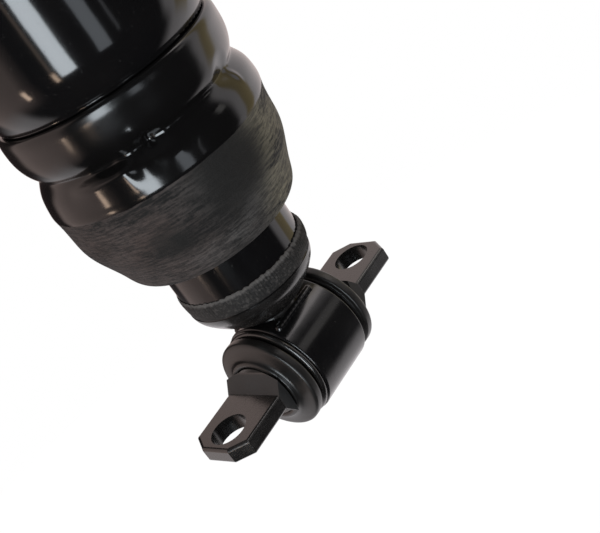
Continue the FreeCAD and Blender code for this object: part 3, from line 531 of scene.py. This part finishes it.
# %% [markdown]
# ## Sleeve finish: paint above, bare cord rubber below
# The top of the sleeve was painted with the can, up to a masked line round the widest ring. Below
# it the rubber is bare and matte and shows its cord as fine lines round the sleeve. The sleeve
# moves, so the finish can't read the height of the moving surface. The height of each point at
# rest is stored on the mesh instead, and the finish reads that.

# %% store the rest height and make the finish
MASK_HEIGHT = 83.3


def keep_rest_height(obj):
    """Stores each point's height in millimetres, which stays with it when the sleeve moves."""
    heights = obj.data.attributes.new("rest_height", "FLOAT", "POINT")
    heights.data.foreach_set("value", [v.co.z / MM for v in obj.data.vertices])


def sleeve_finish():
    """Paint above MASK_HEIGHT; below it, rubber with a painted warm reflection on one side and a
    paler painted olive reflection on the other.
    """
    finish = Finish("painted_cord_rubber")
    height = finish.node("ShaderNodeAttribute", {"attribute_name": "rest_height"}, output="Fac")
    skin = finish.node(
        "ShaderNodeCombineXYZ", {}, {0: finish.axis(0), 1: finish.axis(1), 2: height * MM}
    )
    along_x = finish.axis(0) * (1 / MM)
    cord = finish.noise(0.6, 3.0, finish.stretched(0.13, 0.13, 1, skin), 0.6)
    fuzz = finish.noise(1.0, 4.0, skin, 0.8)
    cloud = finish.noise(15, 4.0, skin, 0.6)
    smudge = finish.noise(9, 3.0, finish.stretched(0.45, 0.45, 1.3, skin))
    wobble = finish.noise(4, 2.0, skin)
    painted = (height + wobble * 0.7).above(MASK_HEIGHT, 0.16)
    bloom = finish.blend(cloud.above(0.5, 0.22), (0.024, 0.0200, 0.0175), (0.070, 0.066, 0.064))
    # Painted warm reflection: the bare rubber is painted browner on its -X side.
    painted_warm_reflection = 0.7 - along_x.above(-22, 12) * 0.7
    bloom = finish.blend(painted_warm_reflection, bloom, (0.044, 0.028, 0.024))
    # Painted olive reflection: the bare rubber is painted paler and olive towards its +X side.
    painted_olive_reflection = (along_x + cloud * 8 - 4).above(-1, 7) * 0.85
    bloom = finish.blend(painted_olive_reflection, bloom, (0.160, 0.142, 0.098))
    shade = cord.above(0.5, 0.1) * 0.5 + fuzz.above(0.5, 0.16) * 0.3
    shade += smudge.above(0.58, 0.12) * 0.45
    colour = finish.blend(shade, bloom, (0.0045, 0.0042, 0.0040))

    def patch(azimuth, at, size):
        """1 in the middle of a darker blotch of that size in millimetres, 0 outside it."""
        ends = {0: skin, 1: on_sleeve(azimuth, 36.0, at)}
        far = finish.node("ShaderNodeVectorMath", {"operation": "DISTANCE"}, ends, output="Value")
        return 1 - (far * (1 / (size * MM)) + fuzz * 0.5 - 0.25).above(0.75, 0.4)

    # The bare rubber is darker in three blotches below the paint line.
    blotch = patch(-104, 76, 18) * 0.95 + patch(-147, 67, 7) * 0.7 + patch(-138, 66, 5) * 0.5
    finish.set(
        Base_Color=finish.blend(blotch, colour, (0.006, 0.0055, 0.005)),
        Roughness=fuzz * 0.15 + 0.68,
        Specular_IOR_Level=0.3,
        IOR=1.5,
    )
    finish.bump(cord * 0.9 + fuzz * 1.6, 0.2)
    bare = finish.shaded()
    finish.shader = finish.tree.nodes.new("ShaderNodeBsdfPrincipled")
    finish.set(
        Base_Color=(0.003, 0.0028, 0.0028),
        Roughness=cloud * 0.07 + height.above(101, 5) * 0.05 + 0.1,
        IOR=1.5,
    )
    finish.bump(wobble * 0.35 + cord * 0.02, 0.06)
    finish.surface(finish.mixed(painted, bare, finish.shaded()))
    return finish.material


painted_cord = sleeve_finish()
for leg in (sleeve_outer, sleeve_inner):
    keep_rest_height(leg)
    leg.data.materials.append(painted_cord)
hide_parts("air_sleeve")
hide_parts("air_sleeve")
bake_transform(sleeve_outer)
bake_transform(sleeve_inner)

# %% [markdown]
# ## The ribbed ring at the foot of the tube
# A rubber ring keeps the lobe off the weld. It has fine upright ribs, about a millimetre apart,
# and a torn-looking top edge where it was cut. The ribs are real: a displace modifier pushes them
# out, and a vertex group says by how much. The ring is worn thinner on one side.

# %% ribbed ring
RIBS = 138
BORE_R = 22.03
# Height above which the ring's top edge gets a painted highlight.
LIT_TOP_HEIGHT = 37.5
RIB_DEPTH, TEAR_DEPTH, WEAR = 0.26, 0.2, 0.3
ring_outline = [
    (BORE_R, 31.6), (22.15, 31.65), (22.45, 32.5), (22.8, 33.7), (23.05, 34.9), (23.2, 36.2),
    (23.1, 37.4), (22.7, 38.3), (22.3, 38.5), (BORE_R, 38.3), (BORE_R, 35.0),
]
stop_ring = spun("stop_ring_ribbed", ring_outline, RIBS * 4, closed=True)
ribs = stop_ring.vertex_groups.new(name="ribs")
for vertex in stop_ring.data.vertices:
    x, y, z = (c / MM for c in vertex.co)
    turn, reach = math.atan2(y, x), math.hypot(x, y)
    wave = 0.5 + 0.5 * math.cos(turn * RIBS + 1.5 * math.sin(turn * 7) + 0.25 * (z - 34))
    patchy = 0.6 + 0.4 * math.cos(turn + 1.1)
    patchy += 0.25 * math.sin(turn * 5 + z * 0.9) * math.sin(turn * 13)
    outside = min(1.0, max(0.0, (reach - 22.3) / 0.6))
    ribs.add([vertex.index], min(1.0, max(0.0, wave * patchy)) * outside, "REPLACE")
    ragged = math.sin(turn * 31) * math.sin(turn * 17 + 2) + 0.6 * math.sin(turn * 67 + 1)
    if z > 37:
        vertex.co.z += ragged * TEAR_DEPTH * MM
    worn = WEAR - WEAR * math.cos(turn)
    thin = 1 - worn * (reach - BORE_R) / reach
    vertex.co.x *= thin
    vertex.co.y *= thin
apply_modifier(stop_ring, "DISPLACE", vertex_group="ribs", strength=RIB_DEPTH * MM, mid_level=0.0)
stop_ring.data.shade_smooth()
ribbed = moulded_rubber(
    "ribbed_rubber", (0.0025, 0.0023, 0.0022), (0.016, 0.0145, 0.0138), 0.66, lit_top=LIT_TOP_HEIGHT
)
stop_ring.data.materials.append(ribbed)
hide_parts("stop_ring")
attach(stop_ring, "damper_body")
print("ribs:", RIBS, "faces:", len(stop_ring.data.polygons))

# %% [markdown]
# ## The bushing's two flanges
# Each end of the bonded bushing swells into a thick flange with a rounded rim, a shallow cone and
# a raised collar round the pin. One outline serves both: it is spun about the pin's axis for each
# end.

# %% bushing flanges
flange_outline = [
    (10.05, 0.0), (14.1, 0.0), (14.1, 13.9), (14.3, 14.2), (16.2, 14.2), (16.4, 14.5),
    (16.4, 15.0), (17.0, 15.25), (17.7, 15.3), (17.95, 15.6), (18.0, 16.2), (18.0, 17.5),
    (17.95, 18.1), (17.55, 18.6), (16.9, 18.8), (15.2, 19.05), (13.6, 19.45), (12.9, 19.8),
    (12.5, 20.4), (12.3, 21.0), (11.9, 21.25), (11.0, 21.3), (10.4, 21.1), (10.1, 20.6),
    (10.05, 19.0),
]
flange_rubber = moulded_rubber(
    "bushing_rubber", (0.003, 0.0027, 0.0025), (0.009, 0.0082, 0.0077), 0.33
)
for name, way in (("bushing_flange_near", -1), ("bushing_flange_far", 1)):
    flange = spun(name, [(r, way * x) for r, x in flange_outline], 64, along_x=True, closed=True)
    smoothed(flange, 2)
    flange.data.materials.append(flange_rubber)
    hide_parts("bushing_rubber")
    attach(flange, "damper_body")
    print(name, "faces:", len(flange.data.polygons))

# %% [markdown]
# ## The weld under the cup
# A weld is laid in small overlapping pools, and each leaves a ripple. The bead is a turned bar
# whose radius swells and shrinks once a pool, sunk into the corner between the cup and the eye.
# It is made on the pin's axis and moved into the corner inside its mesh.

# %% weld beads
POOLS = 11
BEAD_END = 9.8
CORNER_Y, CORNER_Z = 9.45, 15.6
bead_outline = [(0.05, -BEAD_END - 0.8), (0.8, -BEAD_END - 0.5), (1.3, -BEAD_END)]
for pool in range(POOLS):
    start = -BEAD_END + 2 * BEAD_END * pool / POOLS
    bead_outline += [(1.5, start + 0.35), (1.57, start + 0.9), (1.54, start + 1.4)]
bead_outline += [(1.3, BEAD_END), (0.8, BEAD_END + 0.5), (0.05, BEAD_END + 0.8)]
weld_paint = gloss_enamel("painted_weld", 0.12, 0.05)
for name, way in (("weld_bead_front", -1), ("weld_bead_back", 1)):
    bead = smoothed(spun(name, bead_outline, 24, along_x=True), 1)
    bead.data.transform(Matrix.Translation(Vector((0, way * CORNER_Y, CORNER_Z)) * MM))
    bead.data.materials.append(weld_paint)
    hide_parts("eye_weld")
    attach(bead, "damper_body")
print("weld pools:", POOLS)

# %% [markdown]
# ## The rubber block of the top mount
# The block is bonded into the plate's cup and bulges a little at both faces. Its bore opens
# towards the ends, so that the plate can tilt. Six shallow lobes on the upper face are the usual
# moulding.

# %% mount rubber
low, high = (corner.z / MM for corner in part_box("mount_rubber"))
block_outline = [
    (8.2, (low + high) / 2), (8.9, low + 1.2), (9.3, low + 0.2), (10.2, low + 0.3),
    (12.0, low + 1.6), (16.0, low + 2.7), (20.0, low + 2.6), (23.2, low + 2.9),
    (23.95, low + 3.4), (23.95, high - 2.4), (23.2, high - 2.1), (20.0, high - 1.8),
    (16.0, high - 2.4), (12.0, high - 1.5), (10.2, high - 0.3), (9.3, high - 0.2),
    (8.9, high - 1.2),
]
LOBES_FROM, LOBES_TO, LOBE_HEIGHT = 12, 23, 0.7
block = smoothed(spun("mount_rubber_block", block_outline, 48, closed=True), 2)
for vertex in block.data.vertices:
    x, y, z = (c / MM for c in vertex.co)
    reach = math.hypot(x, y)
    if z > high - 3.5 and LOBES_FROM < reach < LOBES_TO:
        swell = math.sin(math.pi * (reach - LOBES_FROM) / (LOBES_TO - LOBES_FROM))
        vertex.co.z += LOBE_HEIGHT * swell * max(0.0, math.cos(6 * math.atan2(y, x))) * MM
block.data.materials.append(finishes["moulded_rubber"])
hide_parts("mount_rubber")
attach(block, "top_mount")
print("mount rubber faces:", len(block.data.polygons))

# %% [markdown]
# ## Floor, sky and soft boxes
# Black gloss shows what stands round it, so the light is designed by what it reflects. Behind the
# object everything is white paper. In front the room is dark, with one tall cool window, a dimmer
# one beside it, two small warm lamps low down with a warm strip over one of them, and two pale
# cards higher up. The paper is plain colour in the sky, seen by the camera and by reflections;
# the windows, lamps and cards are area lamps. The floor is clear to reflections, so that surfaces
# which face down mirror the lower sky and not a bright floor.

# %% floor
FLOOR_Z = -0.3
PAPER_GLOW, GLOW_SHARE = 1.075, 0.85
bpy.ops.mesh.primitive_circle_add(
    vertices=96, radius=0.7, fill_type="NGON", location=(0, 0, FLOOR_Z)
)
floor = bpy.context.active_object
floor.name = "floor"
paper = Finish("white_paper")
ray = paper.node("ShaderNodeLightPath", output="Is Camera Ray")
mirrored = paper.node("ShaderNodeLightPath", output="Is Glossy Ray")
glow = paper.node("ShaderNodeEmission", {}, {"Color": (1, 1, 1, 1), "Strength": PAPER_GLOW})
clear = paper.node("ShaderNodeBsdfTransparent", {}, {"Color": (1, 1, 1, 1)})
paper.set(Base_Color=(0.8, 0.8, 0.8), Roughness=0.9)
lit = paper.mixed(ray * GLOW_SHARE, paper.shaded(), glow)
paper.surface(paper.mixed(mirrored, lit, clear))
floor.data.materials.append(paper.material)
bpy.ops.object.select_all(action="DESELECT")

# %% sky
sky = bpy.data.worlds.new("studio")
bpy.context.scene.world = sky
sky.use_nodes = True
sky.node_tree.nodes.clear()


class Sky(Finish):
    """The same helpers for the world's node tree."""

    def __init__(self, tree):
        self.tree = tree


room = Sky(sky.node_tree)
look = room.node("ShaderNodeTexCoord", output="Generated")
east, north, rise = (room.axis(index, look) for index in range(3))
azimuth = room.node("ShaderNodeMath", {"operation": "ARCTAN2"}, {0: north, 1: east})
turn = azimuth * (1 / math.tau) + 0.5
band = room.node("ShaderNodeValToRGB", {}, {0: turn})
ramp = band.socket.node.color_ramp
PAPER = (1.12, 1.07, 1.09)
WARM_PAPER = (0.80, 0.63, 0.58)
WARM_EDGE = (0.3, 0.24, 0.22)
DARK = (0.010, 0.010, 0.012)
OLIVE = (0.72, 0.58, 0.30)
SHADE = (0.03, 0.022, 0.022)
CEILING = (0.05, 0.05, 0.055)
ROOM_LIGHT = (0.75, 0.74, 0.74)
WHITE = (1, 1, 1)
stops = [
    (-51, DARK), (-43, PAPER), (-31, PAPER), (-28, OLIVE), (-8, OLIVE), (-4, PAPER),
    (62, WARM_PAPER), (72, SHADE), (100, SHADE), (108, WARM_PAPER), (163, WARM_PAPER),
    (171, WARM_EDGE),
]
for end, position in zip(ramp.elements, (0.0, 1.0)):
    end.position = position
    end.color = (*DARK, 1)
for degrees, colour in stops:
    stop = ramp.elements.new((degrees + 180) / 360)
    stop.color = (*colour, 1)
# The band is the ring of walls. Low down is a table, dark in front and paper behind; high up is a
# grey ceiling.
behind = (east * 0.62 + north * 0.78).above(0.0, 0.12)
low_paper = (0 - rise).above(0.50, 0.13)
table = room.blend(behind, DARK, PAPER)
zenith = rise.above(0.82, 0.12)
walls = room.blend(low_paper, band, table)
roof = room.blend(zenith, walls, CEILING)
camera_ray = room.node("ShaderNodeLightPath", output="Is Camera Ray")
glossy_ray = room.node("ShaderNodeLightPath", output="Is Glossy Ray")
plain = room.blend(glossy_ray, ROOM_LIGHT, roof)
seen = room.blend(camera_ray, plain, WHITE)
background = room.node("ShaderNodeBackground", {}, {"Color": seen, "Strength": 1.0})
out = room.tree.nodes.new("ShaderNodeOutputWorld")
room.tree.links.new(background.socket, out.inputs["Surface"])
print("sky stops:", len(stops))

# %% soft boxes
AIM = Vector((0, 0, 100)) * MM
FAR = 1.5


def soft_box(name, azimuth, low, high, width, brightness, colour):
    """An area lamp that fills a stretch of the room: azimuth and width, low to high, in degrees."""
    lamp = bpy.data.lights.new(name, "AREA")
    lamp.shape = "RECTANGLE"
    lamp.size = 2 * FAR * math.tan(math.radians(width / 2))
    reach_low, reach_high = (FAR * math.tan(math.radians(angle)) for angle in (low, high))
    lamp.size_y = reach_high - reach_low
    lamp.energy = brightness * math.pi * lamp.size * lamp.size_y
    lamp.color = colour
    obj = bpy.data.objects.new(name, lamp)
    bpy.context.scene.collection.objects.link(obj)
    turned = math.radians(azimuth)
    away = Vector((math.cos(turned), math.sin(turned), 0))
    middle = AIM + away * FAR + Vector((0, 0, (reach_low + reach_high) / 2))
    facing = away.to_track_quat("Z", "Y").to_matrix().to_4x4()
    obj.matrix_world = Matrix.Translation(middle) @ facing
    obj.visible_camera = False


soft_box("window_tall", -149.5, -22, 24, 15, 11.5, (0.86, 0.94, 1.0))
soft_box("window_side", -113, -22, 12, 12, 2.0, (0.85, 0.92, 1.0))
soft_box("gap_light", -96, -16, 10, 2.5, 0.7, (0.9, 0.93, 1.0))
soft_box("warm_lamp_left", 165.5, -24, -15.5, 4.5, 9.0, (1.0, 0.74, 0.55))
soft_box("warm_lamp", -162, -24, -15.5, 3.5, 9.0, (1.0, 0.74, 0.55))
soft_box("warm_strip", -162, -14.5, 16, 3.0, 0.9, (1.0, 0.76, 0.6))
soft_box("card_low", -57, 9, 24, 10, 0.8, (1.0, 0.96, 0.93))
soft_box("card_high", -33, 43, 57, 24, 2.3, (1.0, 0.93, 0.93))
print("soft boxes ready")

# %% [markdown]
# ## Camera
# The lens and the place are chosen so that the pin's two holes, the eye and the can line up as
# they do on the real part seen from above and to one side.

# %% camera
lens = bpy.data.cameras.new("camera")
lens.sensor_width = 36.0
lens.lens = 68.2
lens.clip_start = 0.01
PLACE = Vector((-190.349, -264.862, 182.642)) * MM
eye = bpy.data.objects.new("camera", lens)
bpy.context.scene.collection.objects.link(eye)
right = Vector((0.495824, -0.706868, -0.504476))
down = Vector((-0.666367, 0.062827, -0.742972))
ahead = Vector((0.556878, 0.704550, -0.439882))
turned = Matrix((right, -down, -ahead)).transposed().to_4x4()
eye.matrix_world = Matrix.Translation(PLACE) @ turned
bpy.context.scene.camera = eye
bpy.context.scene.view_settings.view_transform = "Standard"
print("camera at", [round(c, 3) for c in eye.location])
